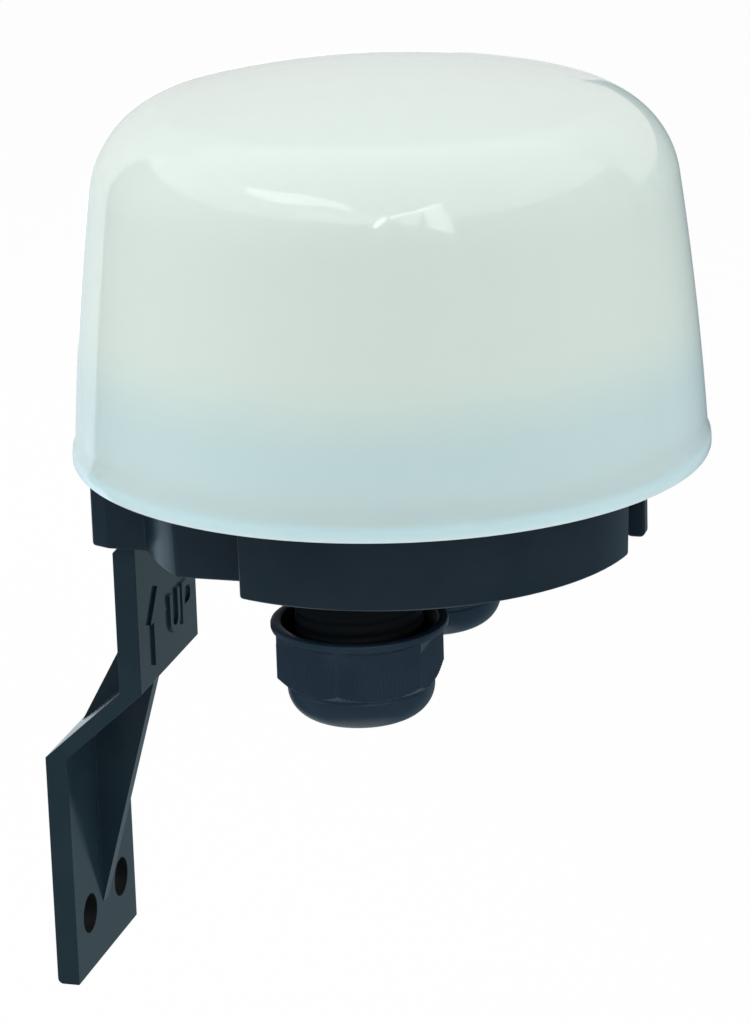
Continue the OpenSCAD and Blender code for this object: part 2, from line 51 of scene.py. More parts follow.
def soften(node, width, segments=2):
    """Rounds the sharp edges of a solid by a width in mm, as a mould leaves them."""
    weld_gap, flat_angle, sharp_angle = 0.004, 1, 38
    node.modifiers.new("join", "WELD").merge_threshold = weld_gap * MM
    plain = node.modifiers.new("plain", "DECIMATE")
    plain.decimate_type = "DISSOLVE"
    plain.angle_limit = radians(flat_angle)
    edge = node.modifiers.new("edge", "BEVEL")
    edge.width = width * MM
    edge.segments = segments
    edge.limit_method = "ANGLE"
    edge.angle_limit = radians(sharp_angle)
    edge.use_clamp_overlap = False
    edge.miter_outer = "MITER_ARC"
    node.modifiers.new("light", "WEIGHTED_NORMAL").keep_sharp = True


class Shade:
    """A socket of a finish. Python's operators on it add Math nodes, and node() adds any other kind."""

    def __init__(self, socket):
        self.socket = socket
        self.tree = socket.id_data

    @staticmethod
    def node(tree, kind, settings, sockets, output=0):
        """One output of a new node. Its settings come first, then the values or links of its sockets."""
        made = tree.nodes.new("ShaderNode" + kind)
        for name, value in settings.items():
            setattr(made, name, value)
        for name, value in sockets.items():
            if isinstance(value, Shade):
                tree.links.new(value.socket, made.inputs[name])
            else:
                made.inputs[name].default_value = value
        return Shade(made.outputs[output])

    def math(self, operation, *others):
        """This value through a Math node, with the others that the operation needs."""
        return Shade.node(self.tree, "Math", {"operation": operation}, dict(enumerate((self, *others))))

    def __add__(self, other):
        return self.math("ADD", other)

    def __sub__(self, other):
        return self.math("SUBTRACT", other)

    def __rsub__(self, other):
        return self.math("MULTIPLY_ADD", -1.0, other)

    def __mul__(self, other):
        return self.math("MULTIPLY", other)

    def __abs__(self):
        return self.math("ABSOLUTE")

    __radd__ = __add__
    __rmul__ = __mul__

    def most(self, other):
        """The larger of this value and another."""
        return self.math("MAXIMUM", other)

    def least(self, other):
        """The smaller of this value and another."""
        return self.math("MINIMUM", other)

    def ramp(self, low, high):
        """0 below low, 1 above high, smooth between them."""
        return Shade.node(self.tree, "MapRange", {"interpolation_type": "SMOOTHSTEP"},
                          {"Value": self, "From Min": low, "From Max": high})

    def mix(self, first, second):
        """A colour that goes from the first to the second as this value goes from 0 to 1."""
        return Shade.node(self.tree, "Mix", {"data_type": "RGBA"}, {0: self, 6: first, 7: second}, 2)

    def noise(self, grain, detail=3.0):
        """Noise with bumps about as wide as grain, in mm. This socket is a place in metres."""
        return Shade.node(self.tree, "TexNoise", {},
                          {"Vector": self, "Scale": 1 / (grain * MM), "Detail": detail})

    def bump(self, height):
        """A normal for a surface that rises by a height in mm where this value goes from 0 to 1."""
        return Shade.node(self.tree, "Bump", {},
                          {"Strength": 1.0, "Distance": height * MM, "Height": self})

    def axis(self, name):
        """One of the coordinates x, y and z of this place, in mm."""
        return Shade.node(self.tree, "SeparateXYZ", {}, {"Vector": self}, "xyz".index(name)) * (1 / MM)

    def feeds(self, shader, socket):
        """Links this value to a socket of a shader."""
        self.tree.links.new(self.socket, shader.inputs[socket])


def tone(red, green, blue):
    """A colour as it shows on screen, 0 to 255, turned into the light it gives back."""
    def linear(value):
        value = value / 255
        return value / 12.92 if value <= 0.04045 else ((value + 0.055) / 1.055) ** 2.4
    return (linear(red), linear(green), linear(blue), 1.0)


def finish(name, **fixed):
    """A new material, its shader with the sockets that stay the same all over, and a point's place on it."""
    material = bpy.data.materials.new(name)
    material.use_nodes = True
    tree = material.node_tree
    shader = tree.nodes["Principled BSDF"]
    for socket, value in fixed.items():
        shader.inputs[socket.replace("_", " ")].default_value = value
    return material, shader, Shade.node(tree, "TexCoord", {}, {}, "Object")


def moulded(name, dark, light, gloss, grain, shine=0.3, painted_shade_and_matt=None):
    """Hard plastic from a mould: two close tones, a fine skin and small changes of gloss. Where the function
    painted_shade_and_matt of a place gives 1, it is painted near-black as shade and has no gloss."""
    cloud_width, gloss_change, skin_height, matt_gloss = 9.0, 0.06, 0.002, 0.5
    material, shader, place = finish(name, Specular_IOR_Level=shine)
    cloud = place.noise(cloud_width).ramp(0.35, 0.65)
    speck = place.noise(grain, 2.0)
    colour = (cloud * 0.7 + speck * 0.3).mix(dark, light)
    roughness = gloss + gloss_change * cloud + gloss_change * speck
    if painted_shade_and_matt:
        # Painted shade: the masked places turn near-black, and they also lose their gloss.
        painted_shade_mask = painted_shade_and_matt(place)
        colour = painted_shade_mask.mix(colour, tone(8, 12, 15))
        roughness = roughness + matt_gloss * painted_shade_mask
    colour.feeds(shader, "Base Color")
    roughness.feeds(shader, "Roughness")
    speck.bump(skin_height).feeds(shader, "Normal")
    return material


def dress(name, material):
    """Gives a kept solid its finish."""
    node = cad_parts[name]
    node.data.materials.clear()
    node.data.materials.append(material)
    return node


screw_x, screw_r = 6.3, 2.6
wall_end, face_start = 0.02, 0.12


def screw_hole_matt_and_shade(place):
    """1 on the walls of the two wall screw holes, which are painted near-black as shade and made matt, and 0
    elsewhere.
    """
    off_x, off_z = abs(place.axis("x")) - screw_x, place.axis("z")
    away = off_x * off_x + off_z * off_z
    return 1 - away.ramp((screw_r + wall_end) ** 2, (screw_r + face_start) ** 2)


bracket_plastic = moulded("bracket_plastic", tone(29, 46, 55), tone(34, 51, 61), 0.1, 0.35, painted_shade_and_matt=screw_hole_matt_and_shade)
soften(dress("wall_bracket", bracket_plastic), 0.1)

# Raised arrow and the word UP on the bracket's upper plate, which show the fitter which way round it goes.
# They are part of the same moulding and stand a third of a millimetre proud of the plate.
mark_height, mark_sink = 0.34, 0.1


def span(name):
    """Lowest and highest corner of a solid, in mm."""
    low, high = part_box(name)
    return Vector(low) / MM, Vector(high) / MM


def piece(name, shape, body, material, crisp=35):
    """One piece from points in mm and faces, smooth but for edges sharper than crisp degrees, on a body."""
    points, faces = shape
    mesh = bpy.data.meshes.new(name)
    mesh.from_pydata([Vector(point) * MM for point in points], [], faces)
    work = bmesh.new()
    work.from_mesh(mesh)
    bmesh.ops.recalc_face_normals(work, faces=work.faces)
    work.to_mesh(mesh)
    work.free()
    mesh.shade_smooth()
    mesh.set_sharp_from_angle(angle=radians(crisp))
    made = bpy.data.objects.new(name, mesh)
    bpy.context.scene.collection.objects.link(made)
    mesh.materials.append(material)
    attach(made, body)
    return made


def together(shapes):
    """The points and faces of several shapes as one."""
    points, faces = [], []
    for more_points, more_faces in shapes:
        start = len(points)
        points += more_points
        faces += [tuple(start + i for i in face) for face in more_faces]
    return points, faces


def ridge(path, width, rise, onto):
    """A flat-topped ridge along a path of (u, v), which onto(u, v, height) lays on a surface."""
    points, faces = [], []
    for i, (u, v) in enumerate(path):
        before, after = path[max(i - 1, 0)], path[min(i + 1, len(path) - 1)]
        run = Vector((after[0] - before[0], after[1] - before[1])).normalized()
        side = Vector((-run.y, run.x)) * width / 2
        for spread, height in ((1.1, -mark_sink), (1.0, rise), (-1.0, rise), (-1.1, -mark_sink)):
            points.append(onto(u + side.x * spread, v + side.y * spread, height))
    for i in range(len(path) - 1):
        for k in range(4):
            a, b = 4 * i + k, 4 * i + (k + 1) % 4
            faces.append((a, b, b + 4, a + 4))
    faces += [(3, 2, 1, 0), tuple(range(len(points) - 4, len(points)))]
    return points, faces


def arc(u, v, r, start, end, steps):
    """Points of an arc about (u, v), between two angles in degrees."""
    return [(u + r * cos(radians(start + (end - start) * i / steps)),
             v + r * sin(radians(start + (end - start) * i / steps))) for i in range(steps + 1)]


snap_ridge = 0.6
plate_y = span("wall_bracket")[0].y + snap_ridge


def on_plate(x, z, height):
    """A place on the bracket's upper plate, at a height above it."""
    return (x, plate_y - height, z)


stroke = 0.95
letter_low, letter_high = 37.4, 43.05
u_left, u_r = 0.55, 1.55
p_stem, bowl_x, bowl_r = 5.5, 7.35, 1.6
u_right = u_left + 2 * u_r
bowl_z = letter_high - stroke / 2 - bowl_r
u_path = ([(u_left, letter_high)] + arc(u_left + u_r, letter_low + stroke / 2 + u_r, u_r, 180, 360, 16)
          + [(u_right, letter_high)])
bowl_path = ([(p_stem, bowl_z + bowl_r)] + arc(bowl_x, bowl_z, bowl_r, 90, -90, 16)
             + [(p_stem, bowl_z - bowl_r)])
stem_path = [(p_stem, letter_low), (p_stem, letter_high)]
piece("mark_letter_u", ridge(u_path, stroke, mark_height, on_plate),
      "base", bracket_plastic, 25)
piece("mark_letter_p", together([ridge(stem_path, stroke, mark_height, on_plate),
                                 ridge(bowl_path, stroke, mark_height - 0.01, on_plate)]),
      "base", bracket_plastic, 25)

arrow_x, arrow_tip, barb_z, shaft_low = -4.7, 46.0, 41.7, 35.8
barb_half, shaft_half = 3.25, 1.9
arrow_corners = [(0, arrow_tip), (-barb_half, barb_z), (-shaft_half, barb_z), (-shaft_half, shaft_low),
                 (shaft_half, shaft_low), (shaft_half, barb_z), (barb_half, barb_z)]
arrow = [(arrow_x + x, z) for x, z in arrow_corners]


def prism(outline, low, high, onto):
    """A flat outline of (u, v) made thick from low to high, which onto(u, v, height) puts in its place."""
    corners = len(outline)
    points = [onto(u, v, height) for height in (low, high) for u, v in outline]
    faces = [tuple(range(corners)), tuple(range(2 * corners - 1, corners - 1, -1))]
    faces += [(i, (i + 1) % corners, corners + (i + 1) % corners, corners + i) for i in range(corners)]
    return points, faces


piece("mark_arrow", prism(arrow, -mark_sink, mark_height, on_plate),
      "base", bracket_plastic, 25)

# Base housing: one black moulding under the dome, with a boss for the bracket's tongue, recesses in its round
# wall, a release tab at the front and two spouts for the cable glands. The spouts carry a coarse thread.
black_plastic = moulded("black_plastic", tone(22, 40, 52), tone(27, 45, 58), 0.26, 0.35)
soften(dress("base_housing", black_plastic), 0.45, 3)

dome_low, dome_high = span("dome_cover")
nut_low, nut_high = span("gland_nut_right")
axis_y, rim_z = (dome_low.y + dome_high.y) / 2, dome_low.z
gland_x = (nut_low.x + nut_high.x) / 2
base_depth, spout_length = 11.4, 10.5
floor_z = rim_z - base_depth
tab_reach, tab_depth, tab_half, tab_drop, tab_r, tab_root = 32.72, 2.4, 1.02, 10.2, 0.7, 0.9
tab_front, tab_low = axis_y - tab_reach, rim_z - tab_drop
tab_back = tab_front + tab_depth
tab_outline = [(tab_front, rim_z + tab_root)] + arc(tab_front + tab_r, tab_low + tab_r, tab_r, 180, 270, 8)
tab_outline += arc(tab_back - tab_r, tab_low + tab_r, tab_r, 270, 360, 8) + [(tab_back, rim_z + tab_root)]
tab = piece("release_tab", prism(tab_outline, -tab_half, tab_half, lambda y, z, x: (x, y, z)),
            "base", black_plastic)
soften(tab, 0.25)

spout_r, thread_pitch, thread_height = 7.8, 1.5, 0.17
thread_root, thread_sink, thread_foot_gap, thread_top_gap = 0.02, 0.2, 0.3, 0.5


def even_turns(count):
    """The angles of a full turn in even steps."""
    return [2 * pi * k / count for k in range(count)]


def ring(x, y, z, turns, radius):
    """Points about an upright axis through (x, y). The radius is one number, or a function of the turn."""
    sizes = [radius(t) if callable(radius) else radius for t in turns]
    return [(x + r * cos(t), y + r * sin(t), z) for t, r in zip(turns, sizes)]


def around(x, y, profile, count=48):
    """Rings about an upright axis through (x, y), for a profile of (radius, height)."""
    return [ring(x, y, z, even_turns(count), r) if r else [(x, y, z)] for r, z in profile]


def skin(rings, closed=False):
    """Points and faces of a skin through rings of points. A ring of one point closes an end."""
    points, faces, starts = [], [], []
    for loop in rings:
        starts.append(len(points))
        points += loop
    pairs = [(i, i + 1) for i in range(len(rings) - 1)]
    if closed:
        pairs.append((len(rings) - 1, 0))
    for first, second in pairs:
        a, b = starts[first], starts[second]
        count = max(len(rings[first]), len(rings[second]))
        for k in range(count):
            n = (k + 1) % count
            if len(rings[first]) == 1:
                faces.append((a, b + k, b + n))
            elif len(rings[second]) == 1:
                faces.append((a + k, a + n, b))
            else:
                faces.append((a + k, a + n, b + n, b + k))
    return points, faces


def thread_wave(turn, z):
    """Height of a screw thread at a turn and a height, from 0 in the root to 1 on the crest."""
    phase = z / thread_pitch - turn / (2 * pi)
    rise = abs(2 * (phase - floor(phase)) - 1)
    return min(1.0, max(0.0, (rise - 0.2) / 0.45))


# The threads on the spouts and inside the nuts are painted near-black as shade in their hollows, with little
# shine.
thread_painted_shade = moulded("thread_painted_shade", tone(11, 18, 22), tone(15, 23, 28), 0.5, 0.3, 0.12)
thread_low, thread_high = floor_z - spout_length + thread_foot_gap, floor_z - thread_top_gap
thread_steps = ceil((thread_high - thread_low) / (thread_pitch / 8))
for side, x in (("left", -gland_x), ("right", gland_x)):
    turns = even_turns(120)
    rings = [ring(x, axis_y, thread_low, turns, spout_r - thread_sink)]
    for i in range(thread_steps + 1):
        z = thread_low + (thread_high - thread_low) * i / thread_steps
        rings.append(ring(x, axis_y, z, turns,
                          lambda t: spout_r + thread_root + thread_height * thread_wave(t, z)))
    rings.append(ring(x, axis_y, thread_high, turns, spout_r - thread_sink))
    piece("spout_thread_" + side, skin(rings, closed=True), "base", thread_painted_shade, 60)

# Cable glands: on each spout a six-sided nut that presses a slip washer against a rubber seal, which grips
# the cable. The nuts are black mouldings with fine grip ribs, shown half unscrewed.
nut_plastic = moulded("nut_plastic", tone(25, 46, 62), tone(30, 51, 68), 0.30, 0.3)

rubber, shader, place = finish("seal_rubber", Specular_IOR_Level=0.3)
dust = place.noise(0.25, 5.0)
dust.ramp(0.35, 0.8).mix(tone(26, 27, 29), tone(44, 46, 48)).feeds(shader, "Base Color")
(0.72 + 0.2 * dust).feeds(shader, "Roughness")
dust.bump(0.04).feeds(shader, "Normal")

slip_plastic, shader, place = finish("slip_plastic", Subsurface_Weight=0.2, Subsurface_Scale=0.001)
haze = place.noise(1.6)
haze.mix(tone(206, 204, 192), tone(224, 222, 212)).feeds(shader, "Base Color")
(0.34 + 0.15 * haze).feeds(shader, "Roughness")

nut_top, nut_h = nut_high.z, nut_high.z - nut_low.z
rim_r = (nut_high.x - nut_low.x) / 2
flat_r, rim_h, cone_h = 9.25, 0.9, 1.1
hex_h, chamfer_h, end_r, end_t, cable_r = 8.0, 1.3, 3.8, 2.2, 4.7
bore_r, bore_thread = spout_r + 0.3, 0.3
bore_root_r = bore_r + bore_thread
mouth_r, mouth_h = 9.8, 2.0
corner_r = flat_r / cos(pi / 6)
ribs, rib_steps, rib_height = 22, 4, 0.11
rib_gap_top, rib_gap_foot, rib_run_in, rib_run_out, rim_undercut = 0.1, 0.05, 0.3, 0.2, 0.12
side_length = 2 * flat_r * tan(pi / 6)


def nut_radius(turn, depth):
    """Radius of the nut's outside at a turn and at a depth below its top, for the six-sided part."""
    lean = turn % (pi / 3) - pi / 6
    fade_in = max(0.0, (depth - rim_h - cone_h - rib_gap_top) / rib_run_in)
    fade_out = max(0.0, (hex_h - rib_gap_foot - depth) / rib_run_out)
    fade = min(1.0, fade_in, fade_out)
    rib = rib_height * fade * (0.5 - 0.5 * cos(2 * pi * flat_r * tan(lean) * ribs / side_length))
    foot = flat_r + (corner_r - flat_r) * max(0.0, hex_h - depth) / chamfer_h
    cone = rim_r - rim_undercut - (rim_r - flat_r) * (depth - rim_h) / cone_h
    return max(min(flat_r / cos(lean), foot) + rib, cone)


flat_start, flat_end = rim_h + cone_h + 0.4, hex_h - chamfer_h - 0.2
hex_depths = ([rim_h + 0.06 + cone_h * i / 6 for i in range(8)]
              + [flat_start + (flat_end - flat_start) * i / 4 for i in range(4)]
              + [flat_end + (hex_h - flat_end) * i / 10 for i in range(11)])
rim_profile = [(mouth_r + 0.1, 0.0), (rim_r - 0.28, 0.0), (rim_r - 0.08, 0.08), (rim_r, 0.26),
               (rim_r, rim_h - 0.24), (rim_r - 0.06, rim_h - 0.06)]
end_profile = [(flat_r - 0.14, hex_h + 0.05), (flat_r - 0.14, hex_h + 0.22), (flat_r - 0.04, hex_h + 0.36)]
end_profile += arc(flat_r - 0.04 - end_r, nut_h - end_r, end_r, 0, 90, 15)
end_profile += [(cable_r + 0.3, nut_h), (cable_r + 0.08, nut_h - 0.1), (cable_r, nut_h - 0.3),
                (cable_r, nut_h - end_t), (bore_root_r + 0.1, nut_h - end_t),
                (bore_root_r + 0.1, mouth_h - 0.3), (mouth_r, 0.06)]
thread_back = [(mouth_r - 0.1, 0.1), (mouth_r - 0.02, 0.14), (bore_root_r + 0.2, mouth_h - 0.38),
               (bore_root_r + 0.2, nut_h - end_t - 0.4)]
turns = [pi / 3 * face + pi / 6 + atan(side_length * (k / (ribs * rib_steps) - 0.5) / flat_r)
         for face in range(6) for k in range(ribs * rib_steps)]
bore_steps = 30
bore_low, bore_high = nut_low.z + end_t + 0.4, nut_top - mouth_h + 0.2
bore_heights = [bore_low + (bore_high - bore_low) * i / bore_steps for i in range(bore_steps + 1)]
for side, x in (("left", -gland_x), ("right", gland_x)):
    rings = [ring(x, axis_y, nut_top - depth, turns, r) for r, depth in rim_profile]
    rings += [ring(x, axis_y, nut_top - depth, turns, lambda t: nut_radius(t, depth)) for depth in hex_depths]
    rings += [ring(x, axis_y, nut_top - depth, turns, r) for r, depth in end_profile]
    nut = piece("gland_nut_ribbed_" + side, skin(rings, closed=True), "gland_nut_" + side,
                nut_plastic, 32)
    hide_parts("gland_nut_" + side)
    rings = [ring(x, axis_y, z, even_turns(120), lambda t: bore_root_r - bore_thread * thread_wave(t, z))
             for z in bore_heights]
    rings += [ring(x, axis_y, nut_top - depth, even_turns(120), r) for r, depth in thread_back]
    thread = piece("gland_nut_thread_" + side, skin(rings, closed=True), "gland_nut_" + side,
                   thread_painted_shade, 60)
    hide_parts("gland_nut_" + side)
    soften(dress("slip_washer_" + side, slip_plastic), 0.12)
    soften(dress("gland_seal_" + side, rubber), 0.3, 3)

# Circuit board: round green glass-fibre laminate on four posts, held by small zinc-plated screws. Copper
# tracks run under its lacquer, and white ink outlines the larger parts.
board_z = span("circuit_board")[1].z
ink_gap, ink_half, ink_edge = 0.45, 0.1, 0.06

board_green, shader, place = finish("board_green", Specular_IOR_Level=0.4, Coat_Weight=0.25)
x, y = place.axis("x"), place.axis("y")
ink = 0.0
for name in ("relay", "film_capacitor", "terminal_block"):
    low, high = span(name)
    mid, half = (low + high) / 2, (high - low) / 2
    beyond = (abs(x - mid.x) - half.x).most(abs(y - mid.y) - half.y)
    ink = (1 - abs(beyond - ink_gap).ramp(ink_half, ink_half + ink_edge)).most(ink)
for name in ("electrolytic_capacitor", "light_sensor"):
    low, high = span(name)
    mid, r = (low + high) / 2, (high.x - low.x) / 2
    off_x, off_y = x - mid.x, y - mid.y
    away = off_x * off_x + off_y * off_y
    beyond = away.math("SQRT") - r
    ink = (1 - abs(beyond - ink_gap).ramp(ink_half, ink_half + ink_edge)).most(ink)
weave = place.noise(0.5, 2.0)
lacquer = weave.mix(tone(14, 82, 48), tone(20, 98, 60))
ink.mix(lacquer, tone(226, 230, 222)).feeds(shader, "Base Color")
(0.24 + 0.12 * weave).feeds(shader, "Roughness")
weave.bump(0.015).feeds(shader, "Normal")
soften(dress("circuit_board", board_green), 0.1)

track_green, shader, place = finish("track_green", Specular_IOR_Level=0.4, Coat_Weight=0.25)
weave = place.noise(0.5, 2.0)
weave.mix(tone(40, 122, 70), tone(50, 136, 80)).feeds(shader, "Base Color")
(0.2 + 0.12 * weave).feeds(shader, "Roughness")


def on_board(x, y, height):
    """A place on the board, measured from its middle, at a height above it."""
    return (x, axis_y + y, board_z + height)


track_height, power_width, signal_width = 0.05, 1.7, 0.8
power_tracks = [
    [(-8, -16), (-8, -9.5), (-9.6, -7.9), (-9.6, 9.1), (-12.8, 12.3)],
    [(8, -16), (8, -9.5), (9.6, -7.9), (9.6, 9.1), (12.8, 12.3)],
    [(0, -15), (3.2, -11.8), (3.2, -2.2), (6.5, 1.1), (6.5, 4)],
    [(-6.5, 4), (-6.5, 9.5), (-4.5, 11.5), (-4.5, 13)],
    [(-17.8, 12.3), (-17.8, 19), (-14.5, 22.3), (-9.3, 22.3)],
    [(17.8, 12.3), (17.8, 18.5), (14, 22.3), (9.3, 22.3)]]
signal_tracks = [
    [(15.6, -17.3), (15.6, -19.5), (26.4, -19.5), (26.4, -17.3)],
    [(15.6, -10.7), (15.6, -8.4), (19.2, -8.4), (19.2, -10.7)],
    [(22.8, -10.7), (22.8, -8.4), (26.4, -8.4), (26.4, -10.7)],
    [(-15.6, -10.2), (-15.6, -8.2), (-11.6, -8.2), (-8.5, -5.1), (-8.5, -2.9)],
    [(-19.2, -10.2), (-19.2, -8.4), (-25.8, -1.8), (-25.8, 6), (-22, 9.8), (-18, 12)],
    [(-22.8, -17.8), (-22.8, -20.4), (-17.5, -25.7), (-13.2, -25.7)],
    [(-2, -7.5), (-4.2, -5.3), (-5.7, -3.9), (-5.7, -2.9)],
    [(2, -7.5), (5.2, -4.3), (9, -4.3)]]
tracks = [ridge(path, power_width, track_height, on_board) for path in power_tracks]
tracks += [ridge(path, signal_width, track_height, on_board) for path in signal_tracks]
piece("board_tracks", together(tracks), "base", track_green)



def bright_metal(name, dark, light, gloss, grain):
    """Bare metal with fine marks in its tone and gloss."""
    material, shader, place = finish(name, Metallic=1.0)
    brush = place.noise(grain, 4.0)
    brush.mix(dark, light).feeds(shader, "Base Color")
    (gloss + 0.2 * brush).feeds(shader, "Roughness")
    return material


steel = bright_metal("screw_steel", tone(170, 170, 166), tone(205, 205, 200), 0.25, 0.15)
soften(dress("board_screws", steel), 0.15, 3)

# Relay: the switch itself, in a moulded blue case over a base plate, with a small vent nib on its top.
# It is soldered to the board by pins underneath.
relay_blue = moulded("relay_case", tone(34, 72, 138), tone(42, 84, 152), 0.26, 0.4)


def slab(low, high, corner, profile, steps=6):
    """Rings of a block with round upright corners, for a profile of (inset, height above its foot)."""
    mid = (low + high) / 2
    rings = []
    for inset, rise in profile:
        r = max(corner - inset, 0.05)
        reach = Vector(((high.x - low.x) / 2 - inset - r, (high.y - low.y) / 2 - inset - r))
        loop = []
        for quarter, (sx, sy) in enumerate(((1, 1), (-1, 1), (-1, -1), (1, -1))):
            centre_x, centre_y = mid.x + sx * reach.x, mid.y + sy * reach.y
            loop += [(px, py, low.z + rise)
                     for px, py in arc(centre_x, centre_y, r, 90 * quarter, 90 * quarter + 90, steps)]
        rings.append(loop)
    ends = [[(mid.x, mid.y, low.z + rise)] for rise in (profile[0][1], profile[-1][1])]
    return [ends[0]] + rings + [ends[1]]


low, high = span("relay")
mid, tall = (low + high) / 2, high.z - low.z
lid_inset, lid_r = 0.28, 0.7
relay_profile = [(0.2, 0.0), (0.0, 0.2), (0.0, 2.0), (0.1, 2.15), (lid_inset, 2.2)]
relay_profile += [(lid_inset + lid_r - lid_r * cos(radians(a)), tall - lid_r + lid_r * sin(radians(a)))
                  for a in range(0, 91, 15)]
nib_x, nib_y = low.x + 2.4, low.y + 2.4
nib = around(nib_x, nib_y, [(0, high.z - 0.2), (0.8, high.z - 0.2), (0.8, high.z + 0.12),
                            (0.66, high.z + 0.25), (0, high.z + 0.25)], 32)
relay = piece("relay_case", together([skin(slab(low, high, 0.8, relay_profile)), skin(nib)]),
              "base", relay_blue)
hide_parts("relay")

# Film capacitor: a wound film in a yellow moulded box, filled with resin and standing on two low feet.
# It drops the mains voltage for the board.
film_yellow = moulded("film_case", tone(204, 164, 44), tone(218, 180, 58), 0.24, 0.5)
low, high = span("film_capacitor")
tall, box_r, foot_h = high.z - low.z, 0.6, 0.5
film_profile = [(0.3, foot_h), (0.05, foot_h + 0.2), (0.0, foot_h + 0.5)]
film_profile += [(box_r - box_r * cos(radians(a)), tall - box_r + box_r * sin(radians(a)))
                 for a in range(0, 91, 15)]
shapes = [skin(slab(low, high, 0.7, film_profile))]
foot_l = 1.6
for foot_x in (low.x + 0.3, high.x - 0.3 - foot_l):
    foot_low = Vector((foot_x, low.y + 0.3, low.z))
    foot_high = Vector((foot_x + foot_l, high.y - 0.3, low.z + foot_h))
    shapes.append(skin(slab(foot_low, foot_high, 0.3, [(0.1, 0.0), (0.0, 0.1), (0.0, foot_h + 0.1)])))
film = piece("film_case", together(shapes), "base", film_yellow)
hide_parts("film_capacitor")

# Electrolytic capacitor: an aluminium can in a dark shrunk sleeve, rolled in near its foot. A pale stripe
# with minus bars marks one lead, and the bare top is scored with a cross so that it can vent.
low, high = span("electrolytic_capacitor")
mid, can_r = (low + high) / 2, (high.x - low.x) / 2
sleeve, shader, place = finish("can_sleeve", Specular_IOR_Level=0.5)
stripe_turn = radians(-60)
off_x, off_y, rise = place.axis("x") - mid.x, place.axis("y") - mid.y, place.axis("z") - low.z
outward = off_x * cos(stripe_turn) + off_y * sin(stripe_turn)
sideways = abs(off_y * cos(stripe_turn) - off_x * sin(stripe_turn))
stripe = outward.ramp(0, 0.2) * (1 - sideways.ramp(1.6, 1.7))
bar_pitch = 3.2
bar_place = (rise * (1 / bar_pitch)).math("FRACT")
bar = (1 - abs(bar_place - 0.5).ramp(0.34, 0.37)) * (1 - sideways.ramp(0.3, 0.36))
film_haze = place.noise(1.2)
base_tone = film_haze.mix(tone(20, 24, 46), tone(27, 32, 58))
(stripe * (1 - bar)).mix(base_tone, tone(176, 184, 196)).feeds(shader, "Base Color")
(0.2 + 0.12 * film_haze).feeds(shader, "Roughness")
film_haze.bump(0.02).feeds(shader, "Normal")
roll_z, roll_half, roll_in = 2.4, 0.8, 0.55
can_profile = [(can_r - 0.5, low.z), (can_r - 0.1, low.z + 0.2), (can_r, low.z + 0.5),
               (can_r, low.z + roll_z - roll_half)]
can_profile += [(can_r - roll_in * (0.5 + 0.5 * cos(pi * k / 6)), low.z + roll_z + roll_half * k / 6)
                for k in range(-5, 7)]
can_profile += [(can_r, high.z - 0.7), (can_r - 0.15, high.z - 0.25), (can_r - 0.6, high.z),
                (can_r - 1.1, high.z - 0.05), (can_r - 1.2, high.z - 0.3), (can_r - 1.2, low.z + 4.0),
                (can_r - 1.2, low.z)]
can = piece("can_sleeve", skin(around(mid.x, mid.y, can_profile, 64), closed=True),
            "base", sleeve)
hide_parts("electrolytic_capacitor")

can_metal, shader, place = finish("can_metal", Metallic=1.0)
off_x, off_y = abs(place.axis("x") - mid.x), abs(place.axis("y") - mid.y)
# The scored cross is a bump, and its grooves are also painted darker as shade.
vent_groove_and_shade = 1 - off_x.least(off_y).ramp(0.12, 0.3)
brush = place.noise(0.2, 4.0)
metal_tone = brush.mix(tone(186, 188, 190), tone(208, 210, 212))
vent_groove_and_shade.mix(metal_tone, tone(110, 112, 116)).feeds(shader, "Base Color")
(0.3 + 0.15 * brush).feeds(shader, "Roughness")
(1 - vent_groove_and_shade).bump(0.25).feeds(shader, "Normal")
top_profile = [(0, high.z - 0.9), (can_r - 1.3, high.z - 0.9), (can_r - 1.15, high.z - 0.4),
               (can_r - 1.3, high.z - 0.2), (can_r - 1.6, high.z - 0.14), (0, high.z - 0.14)]
piece("can_top", skin(around(mid.x, mid.y, top_profile, 64)), "base", can_metal)

# Varistor: a ceramic disc dipped in blue epoxy, which creeps a little way down its two tinned leads. It takes
# up surges from the mains.
tinned = bright_metal("tinned_wire", tone(196, 198, 200), tone(222, 223, 224), 0.18, 0.25)

lead_r = 0.35


def lying(x, y, z, profile, count=40):
    """Rings about an axis along Y, for a profile of (radius, place along the axis)."""
    turns = even_turns(count)
    return [[(x + r * cos(t), y + along, z + r * sin(t)) for t in turns] if r else [(x, y + along, z)]
            for r, along in profile]


def wire(x, path):
    """Rings of a round lead along a path of (y, z) at one x."""
    rings = []
    for i, (y, z) in enumerate(path):
        before, after = path[max(i - 1, 0)], path[min(i + 1, len(path) - 1)]
        run = Vector((after[0] - before[0], after[1] - before[1])).normalized()
        rings.append([(x + lead_r * cos(t), y - run.y * lead_r * sin(t), z + run.x * lead_r * sin(t))
                      for t in even_turns(14)])
    return [[(x, *path[0])]] + rings + [[(x, *path[-1])]]


def solder(x, y):
    """A cone of solder where a lead goes into the board."""
    return skin(around(x, y, [(0, board_z - 0.05), (0.95, board_z - 0.05), (0.95, board_z + 0.06),
                              (0.62, board_z + 0.22), (lead_r, board_z + 0.7), (0, board_z + 0.7)], 24))


dipped, shader, place = finish("varistor_coat", Specular_IOR_Level=0.5)
ripple = place.noise(2.4)
ripple.mix(tone(30, 78, 150), tone(40, 92, 166)).feeds(shader, "Base Color")
(0.16 + 0.12 * ripple).feeds(shader, "Roughness")
ripple.bump(0.08).feeds(shader, "Normal")

